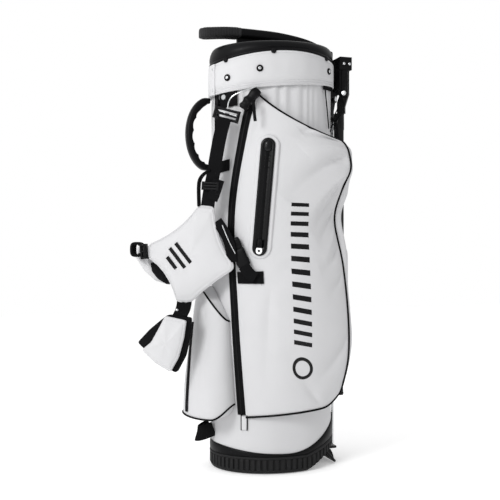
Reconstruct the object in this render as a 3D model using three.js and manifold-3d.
// A golf stand bag: an oval fabric tube on a moulded boot, with a moulded rim and lift
// handle, padded pockets, a folding two-leg stand worked by a foot pedal, and a padded
// double-strap harness.
// Millimetres, +Z up, origin on the floor under the middle of the tube.
// +X is the stand's side, -X the harness side, -Y the front pocket, +Y the rear pocket.
import * as THREE from "three";
import { mergeVertices } from "three/addons/utils/BufferGeometryUtils.js";
import Module from "manifold-3d";

const wasm = await Module();
wasm.setup();

// Driving dimensions.
const TUBE = { halfLength: 124, halfWidth: 98, wall: 3, top: 770 };
const GAP = 0.4; // between pieces that touch
const CHAMFER = { start: 40, slope: 0.5 }; // the boot's undercut on the stand's side
const BOOT = { out: 2, wall: 5, floor: 10, height: 32, rise: 0.3 };
const COLLAR = { low: 37, harnessRise: 14, standRise: 60, out: 1 };
const CUFF = { inner: 0.5, outer: 5.5, bottom: 742, bottomTilt: 13, top: 798, topTilt: 9 };
const RIM = { inner: -9, skirt: -3.5, lip: 6, skirtBottom: 745, top: 829, topTilt: 4 };
const BAR = { tip: -150, root: 129, end: 135, grip: -68, width: 30, thick: 19, keel: 8 };
const LEG = { x: 146, y: 34, z: 745, splay: 33.7, radius: 6, inset: 7, lean: 10, end: 158 };
const ROD = { x: 130, y: 9, radius: 2.5, bottom: 27.6, top: 690 };
const PEDAL = { x: 100, z: 22, footX: 117, footZ: 3.5, halfWidth: 50, wire: 2.5 };
const BRACKET = { x: 131, plate: 2.5, width: 86, foot: 742, roof: 792, top: 818, reach: 26, ear: 3 };
const HANDLE = { x: 131, z: 655, reach: 40, halfHeight: 66, thick: 15, width: 22 };
const HARNESS = { x: -177, y: -38, turn: -31.3, pad: 20 };

const COLOURS = {
  white: [0xe9e9ea, 0.75, 0],
  black: [0x121214, 0.6, 0],
  rubber: [0x2b2b2d, 0.85, 0],
  grip: [0x3a3a3c, 0.8, 0],
  lining: [0x2a2a2c, 0.9, 0],
  steel: [0xb9bbbe, 0.3, 1],
  stay: [0x1c1c1e, 0.4, 0],
  leg: [0x18181a, 0.35, 0.6],
};

const bag = new THREE.Group();

function place(name, geometry, colour, parent = bag) {
  const [color, roughness, metalness] = COLOURS[colour];
  const mesh = new THREE.Mesh(geometry, new THREE.MeshStandardMaterial({ color, roughness, metalness }));
  mesh.name = name;
  parent.add(mesh);
  return mesh;
}

// ---- Solids -------------------------------------------------------------------------

function toSolid(geometry) {
  const bare = geometry.clone();
  bare.deleteAttribute("normal");
  bare.deleteAttribute("uv");
  const merged = mergeVertices(bare, 1e-4);
  return new wasm.Manifold(
    new wasm.Mesh({
      numProp: 3,
      vertProperties: new Float32Array(merged.attributes.position.array),
      triVerts: new Uint32Array(merged.index.array),
    }),
  );
}

function toGeometry(solid) {
  const mesh = solid.getMesh();
  const geometry = new THREE.BufferGeometry();
  geometry.setAttribute("position", new THREE.BufferAttribute(mesh.vertProperties, 3));
  geometry.setIndex(new THREE.BufferAttribute(mesh.triVerts, 1));
  return geometry;
}

function join(...geometries) {
  return toGeometry(geometries.map(toSolid).reduce((all, next) => all.add(next)));
}

function cut(geometry, ...tools) {
  return toGeometry(tools.map(toSolid).reduce((left, tool) => left.subtract(tool), toSolid(geometry)));
}

// Moves every vertex of a geometry to where map puts it.
function reshape(geometry, map) {
  const position = geometry.attributes.position;
  const point = new THREE.Vector3();
  for (let i = 0; i < position.count; i += 1) {
    point.fromBufferAttribute(position, i);
    const moved = map(point);
    position.setXYZ(i, moved.x, moved.y, moved.z);
  }
  return geometry;
}

// A block with corners at 0 and 1 whose points (u, v, w) are carried to map(u, v, w).
function block(steps, map) {
  const box = new THREE.BoxGeometry(1, 1, 1, ...steps);
  return reshape(box, (p) => map(p.x + 0.5, p.y + 0.5, p.z + 0.5));
}

function box(sizeX, sizeY, sizeZ, x, y, z) {
  return new THREE.BoxGeometry(sizeX, sizeY, sizeZ).translate(x, y, z);
}

// A cylinder of the given radius from one point to another.
function rod(from, to, radius, sides = 12) {
  const axis = to.clone().sub(from);
  const geometry = new THREE.CylinderGeometry(radius, radius, axis.length(), sides);
  const turn = new THREE.Quaternion().setFromUnitVectors(new THREE.Vector3(0, 1, 0), axis.clone().normalize());
  const middle = from.clone().add(to).multiplyScalar(0.5);
  return geometry.applyQuaternion(turn).translate(middle.x, middle.y, middle.z);
}

// A flat outline of (x, z) points, extruded by depth towards +Y and centred on y.
function plate(points, depth, y = 0, holes = []) {
  const outline = new THREE.Shape(points.map(([x, z]) => new THREE.Vector2(x, z)));
  outline.holes = holes.map((hole) => new THREE.Path(hole.map(([x, z]) => new THREE.Vector2(x, z))));
  const geometry = new THREE.ExtrudeGeometry(outline, { depth, bevelEnabled: false });
  return geometry.rotateX(Math.PI / 2).translate(0, y + depth / 2, 0);
}

function arc(x, z, radius, from, to, steps) {
  return Array.from({ length: steps + 1 }, (_, i) => {
    const angle = THREE.MathUtils.degToRad(THREE.MathUtils.lerp(from, to, i / steps));
    return [x + radius * Math.cos(angle), z + radius * Math.sin(angle)];
  });
}

// ---- The tube's oval ----------------------------------------------------------------

// The point at a plan angle in degrees, standing out from the tube's surface.
function onTube(angle, out, z) {
  const turn = THREE.MathUtils.degToRad(angle);
  const across = new THREE.Vector2(
    TUBE.halfWidth * Math.cos(turn),
    TUBE.halfLength * Math.sin(turn),
  ).normalize();
  return new THREE.Vector3(
    TUBE.halfLength * Math.cos(turn) + out * across.x,
    TUBE.halfWidth * Math.sin(turn) + out * across.y,
    z,
  );
}

// A closed ring round the oval: profile(angle) gives [out, z] pairs, anticlockwise.
function ring(profile, steps) {
  const count = profile(0).length;
  const marks = Array.from({ length: count + 1 }, (_, i) => new THREE.Vector2(10 + (i % count), i % count));
  const geometry = new THREE.LatheGeometry(marks, steps).rotateX(Math.PI / 2);
  return reshape(geometry, (p) => {
    const angle = THREE.MathUtils.radToDeg(Math.atan2(p.y, p.x));
    const [out, z] = profile(angle)[Math.round(Math.hypot(p.x, p.y) - 10)];
    return onTube(angle, out, z);
  });
}

// A patch over the tube: span(v) gives its two plan angles, height(u, v) its level,
// and reach(u, v) how far it stands out.
function patch(steps, span, height, inner, reach) {
  return block(steps, (u, v, w) => {
    const [from, to] = span(v);
    const angle = THREE.MathUtils.lerp(from, to, u);
    return onTube(angle, THREE.MathUtils.lerp(inner(u, v), reach(u, v), w), height(u, v));
  });
}

const cosine = (angle) => Math.cos(THREE.MathUtils.degToRad(angle));
const chamferAt = (x) => CHAMFER.slope * Math.max(0, x - CHAMFER.start);
const bootTopAt = (x) => BOOT.height + BOOT.rise * Math.max(0, x - CHAMFER.start);
const cuffTopAt = (angle) => CUFF.top + CUFF.topTilt * cosine(angle);
const cuffBottomAt = (angle) => CUFF.bottom + CUFF.bottomTilt * cosine(angle);
const rimTopAt = (angle) => RIM.top + RIM.topTilt * cosine(angle);

function collarTopAt(x) {
  const share = (x / TUBE.halfLength) ** 2;
  return COLLAR.low + share * (x < 0 ? COLLAR.harnessRise : COLLAR.standRise);
}

// ---- Base ---------------------------------------------------------------------------

// An upright oval plug, its foot drawn in by toe, from the floor to above the boot.
function ovalPlug(out, toe) {
  const radius = TUBE.halfLength + out;
  const profile = [[0, 0], [radius - toe, 0], [radius, toe], [radius, 80], [0, 80]];
  const plug = new THREE.LatheGeometry(profile.map(([x, y]) => new THREE.Vector2(x, y)), 48);
  return plug.rotateX(Math.PI / 2).scale(1, (TUBE.halfWidth + out) / radius, 1);
}

// The boot's side view between two levels: flat, then sloping up on the stand's side.
function bootSlab(low, high, highAt) {
  const end = TUBE.halfLength + 10;
  const start = CHAMFER.start;
  return plate([[-end, low], [start, low], [end, low + chamferAt(end)], [end, highAt(end)], [start, high], [-end, high]],
    2 * end);
}

function baseBoot() {
  const outer = toSolid(ovalPlug(BOOT.out, 8)).intersect(toSolid(bootSlab(0, BOOT.height, bootTopAt)));
  const well = toSolid(ovalPlug(BOOT.out - BOOT.wall, 0)).intersect(toSolid(bootSlab(BOOT.floor, 79, () => 79)));
  const cup = toGeometry(outer.subtract(well));
  const lugs = [-1, 1].map((side) => {
    const outline = [
      [PEDAL.x - 5, PEDAL.z + 14],
      ...arc(PEDAL.x, PEDAL.z, 5.5, 180, 360, 8),
      [PEDAL.x + 5, PEDAL.z + 14],
    ];
    return plate(outline, 6, side * 38);
  });
  const pinHole = rod(
    new THREE.Vector3(PEDAL.x, -45, PEDAL.z),
    new THREE.Vector3(PEDAL.x, 45, PEDAL.z),
    PEDAL.wire + 0.5,
  );
  return cut(join(cup, ...lugs), pinHole);
}

function baseCollar() {
  const bandAt = (angle) => {
    const x = TUBE.halfLength * cosine(angle);
    return [bootTopAt(x) + 1, collarTopAt(x)];
  };
  return ring((angle) => {
    const [low, high] = bandAt(angle);
    return [[-TUBE.wall, low], [COLLAR.out, low], [COLLAR.out, high], [-TUBE.wall, high]];
  }, 48);
}

// A loop of webbing sewn low on the harness side, to pull the bag about by. It stands out
// in a U, its width upright and drooping.
const TAB = { x: 125, z: 77, reach: 30, halfSpan: 13, width: 28, droop: 0.35, thick: 2.5 };

function baseTab() {
  return block([16, 1, 1], (u, v, w) => {
    const angle = THREE.MathUtils.degToRad(THREE.MathUtils.lerp(90, -90, u));
    const out = TAB.reach * Math.cos(angle);
    const centre = new THREE.Vector3(
      -TAB.x - out,
      TAB.halfSpan * Math.sin(angle),
      TAB.z + (v - 0.5) * TAB.width - TAB.droop * out,
    );
    const outward = new THREE.Vector3(-TAB.halfSpan * Math.cos(angle), TAB.reach * Math.sin(angle), 0).normalize();
    return centre.addScaledVector(outward, (w - 0.5) * TAB.thick);
  });
}

// ---- Tube ---------------------------------------------------------------------------

function tubePanel(from, to) {
  const bottomAt = (u) => collarTopAt(onTube(THREE.MathUtils.lerp(from, to, u), 0, 0).x) + GAP;
  return patch(
    [12, 4, 1],
    () => [from + 0.2, to - 0.2],
    (u, v) => THREE.MathUtils.lerp(bottomAt(u), TUBE.top, v),
    () => -TUBE.wall,
    () => 0,
  );
}

// A flat springy stay in a sleeve inside the tube, from the boot to the rim.
function stay(angle) {
  return patch(
    [2, 1, 1],
    () => [angle - 4, angle + 4],
    (u, v) => THREE.MathUtils.lerp(BOOT.floor + 2, RIM.skirtBottom - 1, v),
    () => -TUBE.wall - 5,
    () => -TUBE.wall - 1,
  );
}

// ---- Top ----------------------------------------------------------------------------

function topCuff() {
  return ring((angle) => {
    const low = cuffBottomAt(angle);
    const high = cuffTopAt(angle);
    return [[CUFF.inner, low], [CUFF.outer, low], [CUFF.outer, high], [CUFF.inner, high]];
  }, 48);
}

// The height of the lift handle's top along x. The handle is a bar that arches over the
// middle of the mouth and stands out past the rim on the harness side.
const barLine = new THREE.SplineCurve(
  [863, 868, 868, 865, 855, 834].map((z, i) => new THREE.Vector2(i, z)),
);

function barTop(x) {
  return barLine.getPoint((x - BAR.tip) / (BAR.end - BAR.tip)).y;
}

// A stretch of the bar, thicker all round by grow. Its free tip is narrower.
function barLength(from, to, grow) {
  return block([20, 1, 1], (u, v, w) => {
    const x = THREE.MathUtils.lerp(from, to, u);
    const tip = Math.max(0, (BAR.tip + 18 - x) / 18);
    const width = (BAR.width + 2 * grow) * (1 - 0.45 * tip * tip);
    const z = barTop(x) + grow - (1 - v) * (BAR.thick + 2 * grow);
    return new THREE.Vector3(x, (0.5 - w) * width, z);
  });
}

// The wall that carries the bar, along the top of the middle divider.
function barKeel() {
  const from = BAR.grip + 2;
  const to = TUBE.halfLength + RIM.inner + 3;
  return block([12, 1, 1], (u, v, w) => {
    const x = THREE.MathUtils.lerp(from, to, u);
    const z = THREE.MathUtils.lerp(DIVIDER.high + GAP, barTop(x) - BAR.thick / 2, v);
    return new THREE.Vector3(x, (0.5 - w) * BAR.keel, z);
  });
}

function topRim() {
  const wall = ring((angle) => {
    const seat = cuffTopAt(angle) + GAP;
    const top = rimTopAt(angle);
    return [
      [RIM.inner, RIM.skirtBottom],
      [RIM.skirt, RIM.skirtBottom],
      [RIM.skirt, seat],
      [RIM.lip, seat],
      [RIM.lip, seat + 5],
      [1, seat + 8],
      [1, top - 3],
      [-2, top],
      [-6, top],
      [RIM.inner, top - 3],
    ];
  }, 48);
  return join(wall, barLength(BAR.grip, BAR.root, 0), barKeel());
}

const DIVIDER = { halfX: 114, halfY: 88, bar: 12, web: 2, low: 800, high: 820 };

function clubDivider() {
  const tall = DIVIDER.high - DIVIDER.low;
  const middle = (DIVIDER.high + DIVIDER.low) / 2;
  return join(
    box(2 * DIVIDER.halfX, DIVIDER.bar, tall, 0, 0, middle),
    box(DIVIDER.bar, 2 * DIVIDER.halfY, tall, 0, 0, middle),
  );
}

function dividerWebs() {
  const top = DIVIDER.low - GAP;
  const floor = BOOT.floor + 3;
  const halfX = DIVIDER.halfX - 1.5;
  const long = plate(
    [[-halfX, floor], [CHAMFER.start, floor], [halfX, floor + chamferAt(halfX)], [halfX, top], [-halfX, top]],
    DIVIDER.web,
  );
  const short = box(DIVIDER.web, 2 * (DIVIDER.halfY - 1.5), top - floor, 0, 0, (top + floor) / 2);
  return join(long, short);
}

// ---- Pockets ------------------------------------------------------------------------

// The front pocket's edges, as (plan angle, height) from its foot to its top. The rear
// pocket is its mirror image.
const pocketLeft = new THREE.SplineCurve(
  [[129, 108], [136.5, 300], [140.5, 490], [128, 645], [118, 726]].map(([a, z]) => new THREE.Vector2(a, z)),
);
const pocketRight = new THREE.SplineCurve(
  [[46, 126], [41, 250], [41, 486], [41, 600], [44, 645]].map(([a, z]) => new THREE.Vector2(a, z)),
);
// How far the pocket stands out along its stand-side edge: full, waisted, full again.
const pocketFullness = new THREE.SplineCurve(
  [24, 35, 45, 45, 36, 15, 33, 54, 51, 42, 30].map((out, i) => new THREE.Vector2(i, out)),
);
const POCKET = { seam: 3, belly: 20 };

function pocketReach(u, v) {
  const edge = pocketFullness.getPoint(v).y;
  return POCKET.seam + POCKET.belly * Math.sin((u * Math.PI) / 2) + (edge - POCKET.belly) * u ** 3;
}

// A point of the pocket's face, u across from the harness side and v up. side is -1 at
// the front and 1 at the rear.
function onPocket(side, u, v, above) {
  const left = pocketLeft.getPoint(v);
  const right = pocketRight.getPoint(v);
  const corner = left.clone().lerp(right, u);
  return onTube(side * corner.x, pocketReach(u, v) + above, corner.y);
}

function sidePocket(side) {
  return block([12, 24, 1], (u, v, w) => {
    const across = side < 0 ? u : 1 - u;
    const face = onPocket(side, across, v, 0);
    const back = onPocket(side, across, v, 0.5 - pocketReach(across, v));
    return back.lerp(face, w);
  });
}

function ballPocket() {
  const half = 33;
  return patch(
    [14, 8, 1],
    () => [180 - half, 180 + half],
    (u, v) => THREE.MathUtils.lerp(106, 342 - 52 * Math.abs(2 * u - 1) ** 1.6, v),
    () => 0.5,
    (u, v) => {
      const round = Math.sqrt(Math.max(0, 1 - (2 * u - 1) ** 4));
      return 3 + round * THREE.MathUtils.lerp(56, 26, v ** 1.5);
    },
  );
}

// The pad that keeps the stand off the golfer's hip. Its back rib stands between the
// two actuator rods.
function hipPad() {
  const outline = [[124.8, -5], [134, -5], [134, -20], [157, -20], [163, -14], [163, 14], [157, 20], [134, 20]];
  const shape = new THREE.Shape([...outline, [134, 5], [124.8, 5]].map(([x, y]) => new THREE.Vector2(x, y)));
  return new THREE.ExtrudeGeometry(shape, { depth: 114, bevelEnabled: false }).translate(0, 0, 322);
}

// The zipper along the front pocket's harness-side edge.
function pocketZipper() {
  return block([1, 20, 1], (u, v, w) => {
    const edge = pocketLeft.getPoint(0.01 + v * 0.98);
    return onTube(-(edge.x + 0.6 + (1 - u) * 3.2), 0.5 + w * 3, edge.y);
  });
}

const VALUABLES = { uLow: 0.245, uHigh: 0.225, vLow: 0.415, vHigh: 0.757, halfWidth: 12, thick: 3 };

// A point on the straight line that the small zipper runs along, on the pocket's face.
function valuablesLine(share, above) {
  const foot = onPocket(-1, VALUABLES.uLow, VALUABLES.vLow, above);
  const head = onPocket(-1, VALUABLES.uHigh, VALUABLES.vHigh, above);
  return foot.lerp(head, share);
}

const valuablesUp = valuablesLine(1, 0).sub(valuablesLine(0, 0)).normalize();
const valuablesAcross = onPocket(-1, 0.29, 0.6, 0).sub(onPocket(-1, 0.18, 0.6, 0)).normalize();
const valuablesOut = valuablesAcross.clone().cross(valuablesUp).normalize();

// A piece laid on the small zipper's line: its outline is [across, up] from the point at
// the share of the line's length, and it spans two levels above the line.
function onZipper(points, share, low, high, holes = []) {
  const outline = new THREE.Shape(points.map(([x, y]) => new THREE.Vector2(x, y)));
  outline.holes = holes.map((hole) => new THREE.Path(hole.map(([x, y]) => new THREE.Vector2(x, y))));
  const geometry = new THREE.ExtrudeGeometry(outline, { depth: high - low, bevelEnabled: false });
  const right = valuablesUp.clone().cross(valuablesOut);
  const seat = valuablesLine(share, 0).addScaledVector(valuablesOut, low);
  const turn = new THREE.Matrix4().makeBasis(right, valuablesUp, valuablesOut);
  return geometry.applyMatrix4(turn.setPosition(seat));
}

const ZIP_LEVEL = 3.5; // how far the small zipper's flat back stands off the pocket's line

function valuablesZipper() {
  const length = valuablesLine(1, 0).distanceTo(valuablesLine(0, 0));
  const half = VALUABLES.halfWidth;
  const outline = [...arc(0, half, half, 180, 360, 12), ...arc(0, length - half, half, 0, 180, 12)];
  return onZipper(outline, 0, ZIP_LEVEL, ZIP_LEVEL + VALUABLES.thick);
}

// ---- Webbing and harness ------------------------------------------------------------

// Flat webbing along a route, its width lying along side.
function webbing(route, side, width, thick, steps) {
  const curve = new THREE.CatmullRomCurve3(route.map((p) => new THREE.Vector3(...p)));
  return block([1, steps, 1], (u, v, w) => {
    const face = side.clone().cross(curve.getTangent(v)).normalize();
    return curve
      .getPoint(v)
      .addScaledVector(side, (u - 0.5) * width)
      .addScaledVector(face, (w - 0.5) * thick);
  });
}

function tubeWebbing(from, to, low, high, out = 0.5) {
  return patch([8, 1, 1], () => [from, to], (u, v) => THREE.MathUtils.lerp(low, high, v), () => out, () => out + 2);
}

function pocketWebbing() {
  return block([6, 1, 1], (u, v, w) => onPocket(-1, 0.02 + u * 0.24, 0.33 + v * 0.034, 0.6 + w * 2));
}

function grabHandle() {
  return block([20, 1, 1], (u, v, w) => {
    const angle = THREE.MathUtils.degToRad(THREE.MathUtils.lerp(-90, 90, u));
    const centre = new THREE.Vector3(
      -HANDLE.x - HANDLE.reach * Math.cos(angle),
      (v - 0.5) * HANDLE.width,
      HANDLE.z + HANDLE.halfHeight * Math.sin(angle),
    );
    const outward = new THREE.Vector3(
      -HANDLE.halfHeight * Math.cos(angle),
      0,
      HANDLE.reach * Math.sin(angle),
    ).normalize();
    return centre.addScaledVector(outward, (w - 0.5) * HANDLE.thick);
  });
}

// The harness lies in an upright plane. Its own frame has x to the right, y away from
// the viewer of its face, and z up from the floor.
const harness = new THREE.Group();
harness.position.set(HARNESS.x, HARNESS.y, 0);
harness.rotation.z = THREE.MathUtils.degToRad(HARNESS.turn);
bag.add(harness);

const harnessSide = new THREE.Vector3(1, 0, 0);

function curvedOutline(points, steps) {
  const curve = new THREE.CatmullRomCurve3(
    points.map(([x, z]) => new THREE.Vector3(x, 0, z)),
    true,
    "centripetal",
  );
  return curve.getPoints(steps).slice(0, -1).map((p) => [p.x, p.z]);
}

function backPad() {
  const sides = [
    new THREE.QuadraticBezierCurve(new THREE.Vector2(16, 513), new THREE.Vector2(-20, 462), new THREE.Vector2(-86, 438)),
    new THREE.QuadraticBezierCurve(new THREE.Vector2(-86, 411), new THREE.Vector2(-44, 388), new THREE.Vector2(-28, 326)),
    new THREE.QuadraticBezierCurve(new THREE.Vector2(0, 326), new THREE.Vector2(34, 360), new THREE.Vector2(85, 390)),
    new THREE.QuadraticBezierCurve(new THREE.Vector2(85, 402), new THREE.Vector2(52, 440), new THREE.Vector2(46, 510)),
  ];
  return plate(sides.flatMap((side) => side.getPoints(6).map((p) => [p.x, p.y])), HARNESS.pad);
}

function upperShoulderPad() {
  const points = [[-130, 418], [-120, 436], [-102, 438], [-86, 404], [-54, 374], [-58, 358], [-85, 367], [-106, 385]];
  return plate(curvedOutline(points, 24), 54, 42);
}

function lowerShoulderPad() {
  const points = [[-38, 304], [9, 297], [2, 250], [-10, 214], [-30, 197], [-60, 213], [-86, 237], [-66, 254], [-50, 280]];
  return plate(curvedOutline(points, 27), 38, -30);
}

// A block of the side-release buckle, some way along its tilted centre line.
const BUCKLE = { x: 98, y: 4, z: 412, tilt: -25 };
function bucklePart(width, height, thick, along) {
  const part = new THREE.BoxGeometry(width, thick, height).translate(0, 0, along);
  return part.rotateY(THREE.MathUtils.degToRad(BUCKLE.tilt)).translate(BUCKLE.x, BUCKLE.y, BUCKLE.z);
}

// A flat buckle with two slots for webbing.
function slottedBar(width, height, slot, thick, x, y, z) {
  const frame = (halfX, halfZ, atZ) => [
    [x - halfX, atZ - halfZ],
    [x + halfX, atZ - halfZ],
    [x + halfX, atZ + halfZ],
    [x - halfX, atZ + halfZ],
  ];
  const holes = [-1, 1].map((side) => frame(width / 2 - 4, slot / 2, z + side * (height / 4)));
  return plate(frame(width / 2, height / 2, z), thick, y, holes);
}

// ---- Stand --------------------------------------------------------------------------

function legBracket() {
  const { x, plate: thick, width, foot, roof: eaves, top, reach } = BRACKET;
  const back = box(thick, width, top - foot, x + thick / 2, 0, (top + foot) / 2);
  const roof = box(reach, width + 4, top - eaves, x + reach / 2, 0, (top + eaves) / 2);
  const ears = [-1, 1].flatMap((side) =>
    [-1, 1].map((ear) => {
      const outline = [[-8, 60], [-8, 0], ...arc(0, 0, 8, 180, 360, 8), [8, 60]];
      return standPart(plate(outline, BRACKET.ear, ear * 8.2), side);
    }),
  );
  const pins = [-1, 1].map((side) => standPart(pinAlongY(3.3, 24), side));
  return cut(join(back, roof, ...ears), ...pins);
}

function pinAlongY(radius, length) {
  return rod(new THREE.Vector3(0, -length / 2, 0), new THREE.Vector3(0, length / 2, 0), radius, 16);
}

// Carries a piece from a leg's own frame, where x points the way the foot swings, y lies
// along the pivot and z is up, to the front leg (side -1) or the rear leg (side 1).
function standPart(geometry, side) {
  return geometry
    .rotateZ(THREE.MathUtils.degToRad(side * LEG.splay))
    .translate(LEG.x, side * LEG.y, LEG.z);
}

function legHead() {
  const low = -LEG.inset - LEG.radius - 2;
  const high = -LEG.inset + LEG.radius + 2;
  const outline = [[low, -40], [high, -40], [high, -26], ...arc(0, 0, 9, 0, 180, 10), [low, -18]];
  return cut(plate(outline, 12), pinAlongY(3.4, 20));
}

function addLeg(name, side) {
  const leg = new THREE.Group();
  leg.position.set(LEG.x, side * LEG.y, LEG.z);
  leg.rotation.z = THREE.MathUtils.degToRad(side * LEG.splay);
  bag.add(leg);
  const tubeTop = -40 - GAP;
  const tubeEnd = LEG.end - LEG.z;
  // The tube leans in towards the bag on its way down.
  const down = (z) => new THREE.Vector3(-LEG.inset - (LEG.lean * (tubeTop - z)) / (tubeTop - tubeEnd), 0, z);
  place(`${name}_leg_head`, legHead(), "black", leg);
  place(`${name}_leg_tube`, rod(down(tubeEnd), down(tubeTop), LEG.radius, 16), "leg", leg);
  const foot = new THREE.CylinderGeometry(7.5, 8.5, 26, 16).rotateX(Math.PI / 2);
  place(`${name}_leg_foot`, foot.translate(-LEG.inset - LEG.lean, 0, tubeEnd - GAP - 13), "rubber", leg);
  const pin = join(pinAlongY(3, 22), pinAlongY(5, 2).translate(0, 11, 0), pinAlongY(5, 2).translate(0, -11, 0));
  place(`${name}_leg_pin`, pin, "steel", leg);
}

function footPedal() {
  const at = (x, y, z) => new THREE.Vector3(x, y, z);
  const half = PEDAL.halfWidth;
  const axle = rod(at(PEDAL.x, -half, PEDAL.z), at(PEDAL.x, half, PEDAL.z), PEDAL.wire);
  const foot = rod(at(PEDAL.footX, -half, PEDAL.footZ), at(PEDAL.footX, half, PEDAL.footZ), PEDAL.wire);
  const arms = [-1, 1].map((side) =>
    rod(at(PEDAL.x, side * half, PEDAL.z), at(PEDAL.footX, side * half, PEDAL.footZ), PEDAL.wire),
  );
  const seat = plate([[PEDAL.x - 1, 20], [PEDAL.x + 34, 22], [PEDAL.x + 34, 26], [PEDAL.x - 1, 24]], 40);
  return join(axle, foot, ...arms, seat);
}

function rodCrosshead() {
  return box(4, 76, 12, ROD.x, 0, ROD.top + 6 + GAP);
}

// A low domed screw head standing on the cuff.
function addCuffScrew(name, angle, z) {
  const foot = onTube(angle, CUFF.outer + GAP, z);
  const out = onTube(angle, CUFF.outer + 10, z).sub(foot).normalize();
  const head = new THREE.CylinderGeometry(4, 6.5, 3.5, 14).translate(0, 1.75, 0);
  const screw = place(name, head, "steel");
  screw.position.copy(foot);
  screw.quaternion.setFromUnitVectors(new THREE.Vector3(0, 1, 0), out);
}

// ---- Assembly -----------------------------------------------------------------------

place("base_boot", baseBoot(), "rubber");
place("base_collar", baseCollar(), "black");
place("base_tab", baseTab(), "black");

place("front_panel", tubePanel(225, 315), "white");
place("rear_panel", tubePanel(45, 135), "white");
place("harness_side_panel", tubePanel(135, 225), "white");
place("stand_side_panel", tubePanel(-45, 45), "white");
place("spine_stay", stay(180), "stay");
place("front_stay", stay(270), "stay");
place("rear_stay", stay(90), "stay");

place("top_cuff", topCuff(), "white");
place("top_rim", topRim(), "black");
place("lift_grip", barLength(BAR.tip, BAR.grip - GAP, 1), "grip");
place("club_divider", clubDivider(), "black");
place("divider_webs", dividerWebs(), "lining");
[[148, 758], [116, 772], [42.5, 780]].forEach(([angle, z], i) => {
  addCuffScrew(`front_cuff_screw_${i + 1}`, -angle, z);
  addCuffScrew(`rear_cuff_screw_${i + 1}`, angle, z);
});

place("front_pocket", sidePocket(-1), "white");
place("rear_pocket", sidePocket(1), "white");
place("ball_pocket", ballPocket(), "white");
place("hip_pad", hipPad(), "white");
place("pocket_zipper", pocketZipper(), "black");
place("valuables_zipper", valuablesZipper(), "black");

place("spine_webbing", tubeWebbing(190, 197, 606, 728), "black");
place("handle_webbing", tubeWebbing(183, 219, 580, 600), "black");
place("strap_anchor", tubeWebbing(208, 217, 702, 730), "black");
place("pocket_webbing", pocketWebbing(), "black");
place("grab_handle", grabHandle(), "black");

const zipTop = ZIP_LEVEL + VALUABLES.thick + GAP;
place("valuables_slider", onZipper([[-5, 8], [5, 8], [4, 24], [-4, 24]], 0, zipTop, zipTop + 4), "steel");
const pullHole = arc(0, 1, 1.8, 0, 360, 12).slice(0, -1);
const pullOutline = [...arc(0, 1, 6, 180, 360, 10), [6, 7], [-6, 7]];
place("valuables_pull", onZipper(pullOutline, 0, zipTop, zipTop + 3, [pullHole]), "white");

place("buckle_socket", bucklePart(26, 34, 11, 0), "black", harness);
place("buckle_tongue", bucklePart(24, 22, 8, 28.5), "black", harness);

place("strap_buckle", slottedBar(38, 26, 3.5, 5, 68, 2, 684), "black", harness);
place("strap_webbing", webbing([[66, -5, 668], [55, -4, 620], [46, -3, 575], [36, -1, 516]], harnessSide, 25, 2.5, 10),
  "black", harness);
place("ladder_lock", slottedBar(34, 18, 3, 5, 43, -10, 552), "black", harness);
place("back_pad", backPad(), "white", harness);
place("upper_shoulder_pad", upperShoulderPad(), "white", harness);
place("upper_strap_slider", box(10, 16, 27, -92, 0, 424), "black", harness);
place("lower_shoulder_pad", lowerShoulderPad(), "white", harness);
place("pad_link", box(28, 4, 18, -13, -7, 315.5), "black", harness);

const quickRelease = webbing([[97, 4, 690], [112, 2, 708], [131, 8, 727]], harnessSide, 15, 8, 6);
place("quick_release_buckle", quickRelease, "black", harness);

place("leg_bracket", legBracket(), "black");
addLeg("front", -1);
addLeg("rear", 1);
place("front_rod", rod(new THREE.Vector3(ROD.x, -ROD.y, ROD.bottom), new THREE.Vector3(ROD.x, -ROD.y, ROD.top), ROD.radius),
  "steel");
place("rear_rod", rod(new THREE.Vector3(ROD.x, ROD.y, ROD.bottom), new THREE.Vector3(ROD.x, ROD.y, ROD.top), ROD.radius),
  "steel");
place("rod_crosshead", rodCrosshead(), "black");
place("foot_pedal", footPedal(), "steel");

export default bag;
